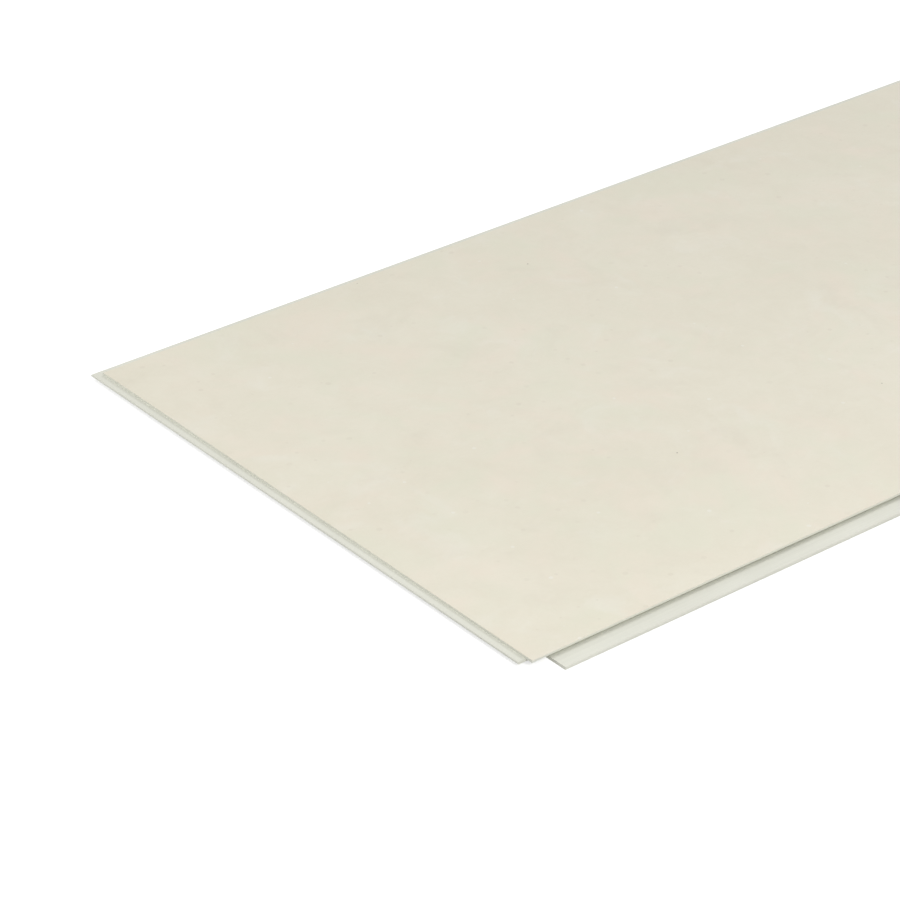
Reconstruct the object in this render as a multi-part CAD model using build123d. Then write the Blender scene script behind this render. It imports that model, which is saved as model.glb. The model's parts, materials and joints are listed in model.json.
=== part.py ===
# Rigid PVC wall tile: one flat board with a printed face and a milled joint on all four edges.
# Two neighbouring edges carry a tongue, and the two opposite them a groove whose lower lip runs
# on as a flange. The flange lies behind the next tile, in the rebate under that tile's tongue.
#
# Millimetres. +X is along the face, +Y across it and +Z out of it. The origin is the centre of
# the face's outline, on the back plane. The tongues are at -X and +Y, the grooves at +X and -Y.

import os

from build123d import *

# The face that shows on a finished wall, and the board's thickness
FACE_LENGTH = 650.0
FACE_WIDTH = 375.0
THICKNESS = 5.0

# The joint: what is left above and below the groove, and how far tongue and flange stand out
UPPER_LIP = 1.6
LOWER_LIP = 1.9
TONGUE_REACH = 4.9
FLANGE_REACH = 11.0

# Room in the joint: above and below the tongue, beyond its tip, and beyond the flange's tip
TONGUE_SIDE_ROOM = 0.05
TONGUE_END_ROOM = 0.2
FLANGE_ROOM = 1.0

# Edge finish
FACE_ARRIS = 0.4  # radius of the face's edges
TONGUE_LEAD = 0.3  # chamfer of the tongue's tip
MOUTH_LEAD = 0.2  # chamfer of the groove's upper mouth, and radius of the tongue's root
CUTTER_ROUND = 0.3  # radius that the cutter leaves in the groove's floor and the rebate's corner
FLANGE_NOSE = 1.5  # height of the flange's blunt end
FLANGE_BEVEL = 0.4  # width of the slope above that end

# Heights above the back plane
GROOVE_BOTTOM = LOWER_LIP
GROOVE_TOP = THICKNESS - UPPER_LIP
TONGUE_BOTTOM = GROOVE_BOTTOM + TONGUE_SIDE_ROOM
TONGUE_TOP = GROOVE_TOP - TONGUE_SIDE_ROOM

# Widths of the cuts that take the next tile's tongue and flange
GROOVE_DEPTH = TONGUE_REACH + TONGUE_END_ROOM
REBATE_WIDTH = FLANGE_REACH + FLANGE_ROOM


def joint_section(span):
    """Section across the tile, with its tongue on the left and its groove and flange on the right.

    span is the face's size along the section, and the section stands on the back plane.
    """
    tongue_edge = -span / 2
    groove_edge = span / 2
    rebate_end = tongue_edge + REBATE_WIDTH
    tongue_tip = tongue_edge - TONGUE_REACH
    groove_floor = groove_edge - GROOVE_DEPTH
    flange_tip = groove_edge + FLANGE_REACH

    outline = Polyline(
        (rebate_end, 0),
        (flange_tip, 0),
        (flange_tip, FLANGE_NOSE),
        (flange_tip - FLANGE_BEVEL, GROOVE_BOTTOM),
        (groove_floor, GROOVE_BOTTOM),
        (groove_floor, GROOVE_TOP),
        (groove_edge, GROOVE_TOP),
        (groove_edge, THICKNESS),
        (tongue_edge, THICKNESS),
        (tongue_edge, TONGUE_TOP),
        (tongue_tip, TONGUE_TOP),
        (tongue_tip, TONGUE_BOTTOM),
        (rebate_end, TONGUE_BOTTOM),
        close=True,
    )
    section = make_face(outline)

    section = fillet(
        corners(
            section,
            (groove_floor, GROOVE_BOTTOM),
            (groove_floor, GROOVE_TOP),
            (rebate_end, TONGUE_BOTTOM),
        ),
        CUTTER_ROUND,
    )
    section = fillet(corners(section, (tongue_edge, TONGUE_TOP)), MOUTH_LEAD)
    section = chamfer(corners(section, (groove_edge, GROOVE_TOP)), MOUTH_LEAD)
    section = chamfer(
        corners(section, (tongue_tip, TONGUE_TOP), (tongue_tip, TONGUE_BOTTOM)), TONGUE_LEAD
    )
    return section


def corners(section, *places):
    """The section's corners at these places."""
    return [section.vertices().sort_by_distance((*place, 0))[0] for place in places]


def wall_tile():
    """The tile: the board that is left once both pairs of edges have been milled right through.

    Each pair's section runs past the other pair's edges, so a groove cuts off the end of the
    tongue that it meets, and a rebate the end of the flange that it meets.
    """
    along_x = Plane(origin=(0, 0, 0), x_dir=(1, 0, 0), z_dir=(0, -1, 0))
    against_y = Plane(origin=(0, 0, 0), x_dir=(0, -1, 0), z_dir=(-1, 0, 0))
    milled_ends = extrude(along_x * joint_section(FACE_LENGTH), amount=FACE_WIDTH, both=True)
    milled_sides = extrude(against_y * joint_section(FACE_WIDTH), amount=FACE_LENGTH, both=True)
    board = milled_ends & milled_sides
    face_edges = board.faces().sort_by(Axis.Z)[-1].edges()
    return fillet(face_edges, FACE_ARRIS)


os.makedirs("parts", exist_ok=True)
tile = wall_tile()
export_step(tile, "parts/wall_tile.step")
print("wall_tile", len(tile.solids()), "solid", round(tile.volume), "mm3", tile.bounding_box().size)
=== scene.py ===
# %% [markdown]
# # A printed PVC wall tile, lying face up
# The tile is one board of rigid PVC. Its face carries a printed film with a pale stone look, and
# its four edges are milled: a tongue on two of them, and a groove over a long flange on the others.
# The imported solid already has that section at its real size. It could be modelled here once more,
# but then two shapes would have to agree, so the solid stays as it is, and the work is its finish,
# the light and the camera. Everything is in metres, in the solid's own frame.

# %% Load the tile
import json
import math

import bmesh
import bpy
from mathutils import Color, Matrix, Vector


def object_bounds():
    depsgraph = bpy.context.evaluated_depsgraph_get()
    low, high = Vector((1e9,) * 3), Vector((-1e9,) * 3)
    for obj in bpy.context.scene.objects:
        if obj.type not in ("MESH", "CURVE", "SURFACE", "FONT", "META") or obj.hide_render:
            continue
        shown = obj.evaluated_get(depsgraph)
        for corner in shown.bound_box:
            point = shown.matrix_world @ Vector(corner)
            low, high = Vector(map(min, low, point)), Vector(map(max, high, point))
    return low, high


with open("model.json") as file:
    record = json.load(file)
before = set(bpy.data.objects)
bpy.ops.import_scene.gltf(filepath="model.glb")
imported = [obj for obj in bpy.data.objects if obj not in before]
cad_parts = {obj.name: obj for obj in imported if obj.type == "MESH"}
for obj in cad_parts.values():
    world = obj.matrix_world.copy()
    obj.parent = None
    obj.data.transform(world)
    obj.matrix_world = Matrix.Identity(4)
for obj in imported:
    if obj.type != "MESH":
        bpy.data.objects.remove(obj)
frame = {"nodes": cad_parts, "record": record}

tile = frame["nodes"]["wall_tile"]
cad_low, cad_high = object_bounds()
print("tile from", tuple(cad_low), "to", tuple(cad_high), "with", len(tile.data.polygons), "triangles")

# %% [markdown]
# ## Where the face ends
# The tongues and flanges stand out past the printed face, so the solid's box is larger than the
# face. The face's size could be written down here again, but the record already says where each of
# its edges is: every joint's mount lies on one of them. Reading them from there keeps this script
# right when the tile is made in another size.

# %% Edges of the face
joint_places = {mount["name"]: Vector(mount["pos_m"]) for mount in frame["record"]["mounts"]}
face_left = joint_places["left_tongue"].x
face_right = joint_places["right_groove"].x
face_front = joint_places["front_groove"].y
face_back = joint_places["back_tongue"].y
face_top = cad_high.z
print("face", face_right - face_left, "by", face_back - face_front, "at height", face_top)

# %% [markdown]
# ## The camera
# A long lens looks down on the front left corner, so the tile's edges hardly run together, and the
# tile runs out of the frame on the right. A camera could be moved by eye until the view looks right,
# but such a place is hard to give again. Here it is measured from that corner, the point that shows
# best, and its direction is a turn from +Y towards +X and a tilt below the horizon.

# %% Camera
CAMERA_FROM_CORNER = Vector((-0.9154, -1.0698, 0.9378))
CAMERA_TURN = math.radians(38.912)
CAMERA_TILT = math.radians(30.183)
LENS_MM = 137.91
SENSOR_MM = 36.0

looking = Vector((
    math.sin(CAMERA_TURN) * math.cos(CAMERA_TILT),
    math.cos(CAMERA_TURN) * math.cos(CAMERA_TILT),
    -math.sin(CAMERA_TILT),
))
near_corner = Vector((face_left, face_front, face_top))
camera_data = bpy.data.cameras.new("camera")
camera_data.lens = LENS_MM
camera_data.sensor_width = SENSOR_MM
camera = bpy.data.objects.new("camera", camera_data)
camera.location = near_corner + CAMERA_FROM_CORNER
camera.rotation_euler = looking.to_track_quat("-Z", "Y").to_euler()
bpy.context.scene.collection.objects.link(camera)
bpy.context.scene.camera = camera
bpy.context.scene.view_settings.view_transform = "Standard"
print("camera at", tuple(camera.location), "looking along", tuple(looking))

# %% [markdown]
# ## Sums inside a material
# A material's pattern is a chain of small sums, and each of them is a Math node. They could be wired
# one by one, but that hides the sum, so one small class stands for a socket's value and lets Python's
# own operators add the nodes. Colours go through a Mix node instead, because a Math node would turn
# them grey.

# %% A wire with operators
# A Mix node has sockets for each kind of data, and those for colours are found by their number
MIX_FACTOR = 0
MIX_FIRST_COLOUR = 6
MIX_SECOND_COLOUR = 7
MIXED_COLOUR = 2


class Wire:
    """One value, colour or vector inside a material."""

    def __init__(self, tree, socket=None):
        self.tree = tree
        self.socket = socket

    def node(self, kind, settings, inputs, output=0):
        """Adds a node, its settings first and then its sockets, and returns one of its outputs, if any."""
        made = self.tree.nodes.new(kind)
        for name, value in settings.items():
            setattr(made, name, value)
        for name, value in inputs.items():
            if isinstance(value, Wire):
                self.tree.links.new(value.socket, made.inputs[name])
            else:
                made.inputs[name].default_value = value
        return Wire(self.tree, made.outputs[output]) if made.outputs else None

    def math(self, operation, first, second=0.0):
        """A Math node on one or two values."""
        return self.node("ShaderNodeMath", {"operation": operation}, {0: first, 1: second})

    def __add__(self, other):
        return self.math("ADD", self, other)

    __radd__ = __add__

    def __sub__(self, other):
        return self.math("SUBTRACT", self, other)

    def __rsub__(self, other):
        return self.math("SUBTRACT", other, self)

    def __mul__(self, other):
        return self.math("MULTIPLY", self, other)

    __rmul__ = __mul__

    def __abs__(self):
        return self.math("ABSOLUTE", self)

    def rise(self, low, high):
        """0 below low, 1 above high, and a smooth step between them."""
        settings = {"interpolation_type": "SMOOTHSTEP"}
        return self.node("ShaderNodeMapRange", settings, {"Value": self, "From Min": low, "From Max": high})

    def blend(self, first, second):
        """The first colour where this wire is 0, and the second where it is 1."""
        settings = {"data_type": "RGBA"}
        inputs = {MIX_FACTOR: self, MIX_FIRST_COLOUR: first, MIX_SECOND_COLOUR: second}
        return self.node("ShaderNodeMix", settings, inputs, output=MIXED_COLOUR)

    def scaled(self, x, y, z):
        """This place, stretched along the three axes."""
        settings = {"operation": "MULTIPLY"}
        return self.node("ShaderNodeVectorMath", settings, {0: self, 1: (x, y, z)})

    def noise(self, size, detail, roughness=0.5, distortion=0.0):
        """Cloudy noise from 0 to 1 at this place, in blots of about this size."""
        inputs = {
            "Vector": self,
            "Scale": 1 / size,
            "Detail": detail,
            "Roughness": roughness,
            "Distortion": distortion,
        }
        return self.node("ShaderNodeTexNoise", {}, inputs)


print("a wire can be added to, subtracted from and multiplied with another, or with a number")

# %% [markdown]
# ## Colours
# A screen gives a colour by three numbers from 0 to 255, but a socket takes linear light. The linear
# numbers could be written down here, but nobody sees a colour in them. So the script keeps the
# screen's numbers, and one function turns them into light.

# %% Colours
SCREEN_WHITE = 255
SCREEN_GREY = 128


def srgb(red, green, blue):
    """A colour as seen on a screen, from 0 to 255, as the linear colour that a socket takes."""
    seen = Color((red / SCREEN_WHITE, green / SCREEN_WHITE, blue / SCREEN_WHITE))
    return (*seen.from_srgb_to_scene_linear(), 1.0)


print("a middle grey of", SCREEN_GREY, "is", srgb(SCREEN_GREY, SCREEN_GREY, SCREEN_GREY), "to a socket")

# %% [markdown]
# ## The stone's ground
# The film on the face shows a quiet limestone: plain ivory from a step away, and close up broad
# clouds, a finer mottle and a grain, with faint rosy and greenish tints. A picture of a stone could
# be laid on the face, but noise needs no picture, never repeats, and has its real size at any
# distance. So each kind of mark is a noise of the size that it has on the tile, and all of them
# together stay within a few shades.

# %% Ground and tints
MILLIMETRE = 0.001
IVORY_LIGHT = srgb(236, 231, 214)
IVORY_DEEP = srgb(228, 222, 203)
IVORY_ROSY = srgb(239, 226, 210)
IVORY_GREENISH = srgb(227, 228, 207)
CLOUD = 140 * MILLIMETRE
MOTTLE = 20 * MILLIMETRE
GRAIN = 2 * MILLIMETRE
ROSY_TINT = 45 * MILLIMETRE
GREENISH_TINT = 55 * MILLIMETRE
CLOUD_NOISE = {"detail": 5.0, "roughness": 0.55, "distortion": 0.4}
PATCH_NOISE = {"detail": 4.0, "roughness": 0.6, "distortion": 0.5}
CLOUD_SHARE = 0.45
MOTTLE_SHARE = 0.4
GRAIN_SHARE = 0.15
DEEP_TONE = 0.25
LIGHT_TONE = 0.75
TINT_EDGE = 0.45
TINT_CORE = 0.7
TINT_STRENGTH = 0.4


def soft_patches(place, size, edge, core):
    """Patches of about this size: 0 where the noise is below edge, and 1 where it is above core."""
    return place.noise(size, **PATCH_NOISE).rise(edge, core)


def stone_ground(place, mottle, grain):
    """Colour of the stone before any marks are on it."""
    cloud = place.noise(CLOUD, **CLOUD_NOISE)
    tone = cloud * CLOUD_SHARE + mottle * MOTTLE_SHARE + grain * GRAIN_SHARE
    ivory = tone.rise(DEEP_TONE, LIGHT_TONE).blend(IVORY_DEEP, IVORY_LIGHT)
    rosy = soft_patches(place, ROSY_TINT, TINT_EDGE, TINT_CORE)
    greenish = soft_patches(place, GREENISH_TINT, TINT_EDGE, TINT_CORE)
    warmed = (rosy * TINT_STRENGTH).blend(ivory, IVORY_ROSY)
    return (greenish * TINT_STRENGTH).blend(warmed, IVORY_GREENISH)


print("ground with clouds of", CLOUD, "m, a mottle of", MOTTLE, "m and a grain of", GRAIN, "m")

# %% [markdown]
# ## Smudges, flecks and pinholes
# On the ground lie faint smudges, pale ones and brown ones, and small marks: soft brown flecks, a few
# pale specks and still fewer pinholes. They could be painted by hand, but a pattern covers a tile of
# any size and stays sharp close up. The smudges are only the highest spots of a noise. The small
# marks need a place each, which the cells of a Voronoi pattern give, and each cell's own random
# colour then decides whether it has a mark and how large that is.

# %% Marks on the stone
SMUDGE_PALE = srgb(241, 239, 229)
SMUDGE_BROWN = srgb(212, 203, 186)
PALE_SMUDGE = 30 * MILLIMETRE
BROWN_SMUDGE = 38 * MILLIMETRE
SMUDGE_EDGE = 0.52
SMUDGE_CORE = 0.75
FLECKED_AREA = 70 * MILLIMETRE
AREA_EDGE = 0.42
AREA_CORE = 0.62
PALE_STRENGTH = 0.24
BROWN_STRENGTH = 0.16
FLECK_STRENGTH = 0.25
SPECK_STRENGTH = 0.5

# How far apart the small marks lie, their radii, and the part of the places that has one
FLECKS = {
    "spacing": 14 * MILLIMETRE,
    "smallest": 1.0 * MILLIMETRE,
    "largest": 2.2 * MILLIMETRE,
    "share": 0.4,
}
SPECKS = {
    "spacing": 45 * MILLIMETRE,
    "smallest": 0.5 * MILLIMETRE,
    "largest": 1.5 * MILLIMETRE,
    "share": 0.5,
}


def scattered(place, spacing, smallest, largest, share):
    """Soft round marks, 1 in the middle and 0 outside. share is the part of the cells with one."""
    settings = {"voronoi_dimensions": "2D"}
    cells = {"Vector": place, "Scale": 1 / spacing}
    distance = place.node("ShaderNodeTexVoronoi", settings, cells, output="Distance")
    chance = place.node("ShaderNodeTexVoronoi", settings, cells, output="Color")
    draw = place.node("ShaderNodeSeparateColor", {}, {"Color": chance}, output="Red")
    size = place.node("ShaderNodeSeparateColor", {}, {"Color": chance}, output="Green")
    radius = (smallest + size * (largest - smallest)) * (1 / spacing)
    inside = (radius - distance).rise(0.0, smallest / spacing)
    return inside * place.math("LESS_THAN", draw, share)


def smudged(place, colour):
    """This colour with the pale and the brown smudges on it."""
    pale = soft_patches(place, PALE_SMUDGE, SMUDGE_EDGE, SMUDGE_CORE)
    brown = soft_patches(place, BROWN_SMUDGE, SMUDGE_EDGE, SMUDGE_CORE)
    paler = (pale * PALE_STRENGTH).blend(colour, SMUDGE_PALE)
    return (brown * BROWN_STRENGTH).blend(paler, SMUDGE_BROWN)


def flecked(place, colour):
    """This colour with the brown flecks, which keep to some areas, and the pale specks on it."""
    area = soft_patches(place, FLECKED_AREA, AREA_EDGE, AREA_CORE)
    fleck = scattered(place, **FLECKS)
    speck = scattered(place, **SPECKS)
    browner = (fleck * area * FLECK_STRENGTH).blend(colour, SMUDGE_BROWN)
    return (speck * SPECK_STRENGTH).blend(browner, SMUDGE_PALE)


print("smudges of", PALE_SMUDGE, "m and", BROWN_SMUDGE, "m, and flecks in areas of", FLECKED_AREA, "m")

# %% [markdown]
# ## The film as a whole
# The film is satin, a little uneven in its sheen, with a relief that only a low light shows. The
# relief could have a pattern of its own, but on the real film it follows the print. So the noises
# that give the colour give the roughness and the height too, and a pinhole is also a small dent.

# %% The printed film
MOTTLE_NOISE = {"detail": 6.0, "roughness": 0.65, "distortion": 0.6}
GRAIN_DETAIL = 3.0
PINHOLES = {
    "spacing": 75 * MILLIMETRE,
    "smallest": 0.3 * MILLIMETRE,
    "largest": 0.6 * MILLIMETRE,
    "share": 0.3,
}
PINHOLE_BROWN = srgb(158, 150, 132)
FILM_ROUGHNESS = 0.42
MOTTLE_DULLNESS = 0.1
GRAIN_DULLNESS = 0.05

# Heights of the relief, in millimetres
MOTTLE_HEIGHT = 0.012
GRAIN_HEIGHT = 0.006
PINHOLE_DEPTH = 0.03


def printed_stone(place):
    """Colour, roughness and relief in millimetres of the printed film."""
    mottle = place.noise(MOTTLE, **MOTTLE_NOISE)
    grain = place.noise(GRAIN, GRAIN_DETAIL)
    pinhole = scattered(place, **PINHOLES)
    marked = flecked(place, smudged(place, stone_ground(place, mottle, grain)))
    colour = pinhole.blend(marked, PINHOLE_BROWN)
    roughness = FILM_ROUGHNESS + mottle * MOTTLE_DULLNESS + grain * GRAIN_DULLNESS
    relief = mottle * MOTTLE_HEIGHT + grain * GRAIN_HEIGHT - pinhole * PINHOLE_DEPTH
    return colour, roughness, relief


print("film with a relief of up to", MOTTLE_HEIGHT + GRAIN_HEIGHT, "mm")

# %% [markdown]
# ## The bare board
# Where the cutters have been, and on the back, the board's own PVC shows. It is cooler than the
# print, and duller, with fine lines that the cutters drew along each edge. The lines could be cut
# into the mesh, but they are only hundredths of a millimetre deep, so a bump in the material is
# enough. Noise that is stretched far along one axis gives such lines. They follow their edge, so the
# pattern has to know which pair of edges it is on: near the ends of the face it runs along Y, and
# elsewhere along X.

# %% Milled PVC
PVC_LIGHT = srgb(231, 231, 219)
PVC_DEEP = srgb(222, 222, 210)
MILL_LINE = 0.35 * MILLIMETRE
MILL_STRETCH = 0.004
PORE = 0.5 * MILLIMETRE
STAIN = 35 * MILLIMETRE
LINE_DETAIL = 3.0
PORE_DETAIL = 2.0
STAIN_DETAIL = 4.0
JOINT_WIDTH = 13 * MILLIMETRE
JOINT_FADE = 1 * MILLIMETRE
LINE_SHARE = 0.5
STAIN_SHARE = 0.35
PORE_SHARE = 0.15
PVC_DEEP_TONE = 0.3
PVC_LIGHT_TONE = 0.7
PVC_ROUGHNESS = 0.5
LINE_DULLNESS = 0.12
PORE_DULLNESS = 0.06

# Heights of the relief, in millimetres
LINE_HEIGHT = 0.03
PORE_HEIGHT = 0.002


def bare_pvc(place):
    """Colour, roughness and relief in millimetres of the milled edges and the plain back."""
    x = place.node("ShaderNodeSeparateXYZ", {}, {"Vector": place}, output="X")
    joint_start = face_right - JOINT_WIDTH
    at_end = abs(x).rise(joint_start, joint_start + JOINT_FADE)
    lines_along_x = place.scaled(MILL_STRETCH, 1.0, 1.0).noise(MILL_LINE, LINE_DETAIL)
    lines_along_y = place.scaled(1.0, MILL_STRETCH, 1.0).noise(MILL_LINE, LINE_DETAIL)
    lines = lines_along_x * (1 - at_end) + lines_along_y * at_end
    stain = place.noise(STAIN, STAIN_DETAIL)
    pores = place.noise(PORE, PORE_DETAIL)

    tone = lines * LINE_SHARE + stain * STAIN_SHARE + pores * PORE_SHARE
    colour = tone.rise(PVC_DEEP_TONE, PVC_LIGHT_TONE).blend(PVC_DEEP, PVC_LIGHT)
    roughness = PVC_ROUGHNESS + lines * LINE_DULLNESS + pores * PORE_DULLNESS
    relief = lines * LINE_HEIGHT + pores * PORE_HEIGHT
    return colour, roughness, relief


print("milled lines of", MILL_LINE, "m within", JOINT_WIDTH, "m of the ends run along Y")

# %% [markdown]
# ## One finish for the whole tile
# The film is only a fraction of a millimetre thick, so the two looks meet in a line just below the
# face, on its rounded edge. The mesh could be split there and given two materials, but height alone
# tells the looks apart: above that line the print shows, and below it the bare board. The tile then
# needs one material, and no seam has to be cut in its mesh.

# %% Tile material
FILM_THICKNESS = 0.15 * MILLIMETRE
FILM_FADE = 0.05 * MILLIMETRE
PVC_IOR = 1.53
REFLECTION_LEVEL = 0.4


def tile_finish():
    """The tile's material: printed film on the face, bare PVC below it."""
    material = bpy.data.materials.new("printed_pvc")
    material.use_nodes = True
    tree = material.node_tree
    tree.nodes.clear()
    start = Wire(tree)
    place = start.node("ShaderNodeTexCoord", {}, {}, output="Object")
    height = place.node("ShaderNodeSeparateXYZ", {}, {"Vector": place}, output="Z")
    film_foot = face_top - FILM_THICKNESS
    film = height.rise(film_foot - FILM_FADE, film_foot)

    print_colour, print_roughness, print_relief = printed_stone(place)
    pvc_colour, pvc_roughness, pvc_relief = bare_pvc(place)
    relief = print_relief * film + pvc_relief * (1 - film)
    bumped = place.node("ShaderNodeBump", {}, {"Height": relief, "Distance": MILLIMETRE}, output="Normal")
    surface = place.node(
        "ShaderNodeBsdfPrincipled",
        {},
        {
            "Base Color": film.blend(pvc_colour, print_colour),
            "Roughness": print_roughness * film + pvc_roughness * (1 - film),
            "Normal": bumped,
            "IOR": PVC_IOR,
            "Specular IOR Level": REFLECTION_LEVEL,
        },
    )
    surface.node("ShaderNodeOutputMaterial", {}, {"Surface": surface})
    print("tile material with", len(tree.nodes), "nodes")
    return material


finish = tile_finish()
for slot in tile.material_slots:
    slot.material = finish
print(len(tile.material_slots), "slot on the tile now holds", tile.material_slots[0].material.name)

# %% [markdown]
# ## The floor
# The tile lies on a plain white floor. A floor that is only lit never quite reaches white, and more
# light would bleach the tile. So the floor also glows, but only as the camera, a reflection or a clear
# material sees it: the glow doesn't light the tile, and the tile's shadow still shows.

# %% Floor
FLOOR_SIZE = 16.0
FLOOR_GAP = 0.1 * MILLIMETRE
FLOOR_COLOUR = (0.7, 0.7, 0.7, 1.0)
FLOOR_GLOW = 0.6


def seen_directly(start):
    """1 for what the camera, a reflection or a clear material sees, 0 for light on other things."""
    camera_ray = start.node("ShaderNodeLightPath", {}, {}, output="Is Camera Ray")
    glossy_ray = start.node("ShaderNodeLightPath", {}, {}, output="Is Glossy Ray")
    clear_ray = start.node("ShaderNodeLightPath", {}, {}, output="Is Transmission Ray")
    return camera_ray.math("MAXIMUM", camera_ray.math("MAXIMUM", camera_ray, glossy_ray), clear_ray)


def lay_floor():
    """A large level floor just under the tile's back."""
    sheet = bmesh.new()
    bmesh.ops.create_grid(sheet, x_segments=1, y_segments=1, size=FLOOR_SIZE / 2)
    bmesh.ops.translate(sheet, verts=sheet.verts, vec=(0, 0, cad_low.z - FLOOR_GAP))
    mesh = bpy.data.meshes.new("floor")
    sheet.to_mesh(mesh)
    sheet.free()

    material = bpy.data.materials.new("white_floor")
    material.use_nodes = True
    tree = material.node_tree
    tree.nodes.clear()
    start = Wire(tree)
    lit = start.node("ShaderNodeBsdfDiffuse", {}, {"Color": FLOOR_COLOUR})
    glow = start.node("ShaderNodeEmission", {}, {"Strength": FLOOR_GLOW})
    shown = start.node("ShaderNodeAddShader", {}, {0: lit, 1: glow})
    surface = start.node("ShaderNodeMixShader", {}, {0: seen_directly(start), 1: lit, 2: shown})
    start.node("ShaderNodeOutputMaterial", {}, {"Surface": surface})
    mesh.materials.append(material)

    floor = bpy.data.objects.new("floor", mesh)
    bpy.context.scene.collection.objects.link(floor)


lay_floor()
print("floor", FLOOR_SIZE, "m wide, at height", cad_low.z - FLOOR_GAP)

# %% [markdown]
# ## The sky
# About half of the light is a pale, even sky, as in a room with white walls. It could give all of the
# light, but then the joints would look flat. What the camera and reflections see of it is pure white,
# which would be too much as a light, so the two have a strength each.

# %% Sky
SKY_LIGHT = 0.475
SKY_SHOWN = 1.0
WHITE = (1.0, 1.0, 1.0, 1.0)


def pale_sky():
    """An even sky: white to the camera and to reflections, and softer as a light."""
    world = bpy.data.worlds.new("sky")
    world.use_nodes = True
    tree = world.node_tree
    tree.nodes.clear()
    start = Wire(tree)
    light = start.node("ShaderNodeBackground", {}, {"Color": WHITE, "Strength": SKY_LIGHT})
    shown = start.node("ShaderNodeBackground", {}, {"Color": WHITE, "Strength": SKY_SHOWN})
    sky = start.node("ShaderNodeMixShader", {}, {0: seen_directly(start), 1: light, 2: shown})
    start.node("ShaderNodeOutputWorld", {}, {"Surface": sky})
    bpy.context.scene.world = world


pale_sky()
print("sky at", SKY_LIGHT)

# %% [markdown]
# ## The lamps
# A distant lamp on the right draws the steps of the joints, with shadows to the left and the front. It
# could do so alone, but then the groove would be too dark. So a lamp in front shines into the groove,
# and makes the near corner a little brighter than the far ones, and a weak lamp on the left brightens
# the far end of the tongue. With the sky they are about as strong as plain daylight in a pale room, so
# a colour looks about as it is written.

# %% Lamps
KEY_DIRECTION = Vector((1.05, 0.46, 1.0))
KEY_DISTANCE = 9.0
KEY_SIZE = 2.0
KEY_POWER = 216.0
FRONT_DIRECTION = Vector((-0.15, -0.8, 0.8))
FRONT_DISTANCE = 1.4
FRONT_SIZE = 0.5
FRONT_POWER = 8.4
LEFT_DIRECTION = Vector((-1.0, 0.5, 0.6))
LEFT_DISTANCE = 0.8
LEFT_SIZE = 0.3
LEFT_POWER = 1.55


def hang_lamp(name, aim, direction, distance, size, power):
    """A square lamp in this direction from a point, shining back at it."""
    data = bpy.data.lights.new(name, "AREA")
    data.energy = power
    data.size = size
    lamp = bpy.data.objects.new(name, data)
    lamp.location = aim + direction.normalized() * distance
    lamp.rotation_euler = (-direction).to_track_quat("-Z", "Y").to_euler()
    bpy.context.scene.collection.objects.link(lamp)
    print(name, "of", power, "W at", tuple(lamp.location))


face_middle = Vector((0, 0, face_top))
far_left_corner = Vector((face_left, face_back, face_top))
hang_lamp("key_lamp", face_middle, KEY_DIRECTION, KEY_DISTANCE, KEY_SIZE, KEY_POWER)
hang_lamp("front_lamp", near_corner, FRONT_DIRECTION, FRONT_DISTANCE, FRONT_SIZE, FRONT_POWER)
hang_lamp("left_lamp", far_left_corner, LEFT_DIRECTION, LEFT_DISTANCE, LEFT_SIZE, LEFT_POWER)
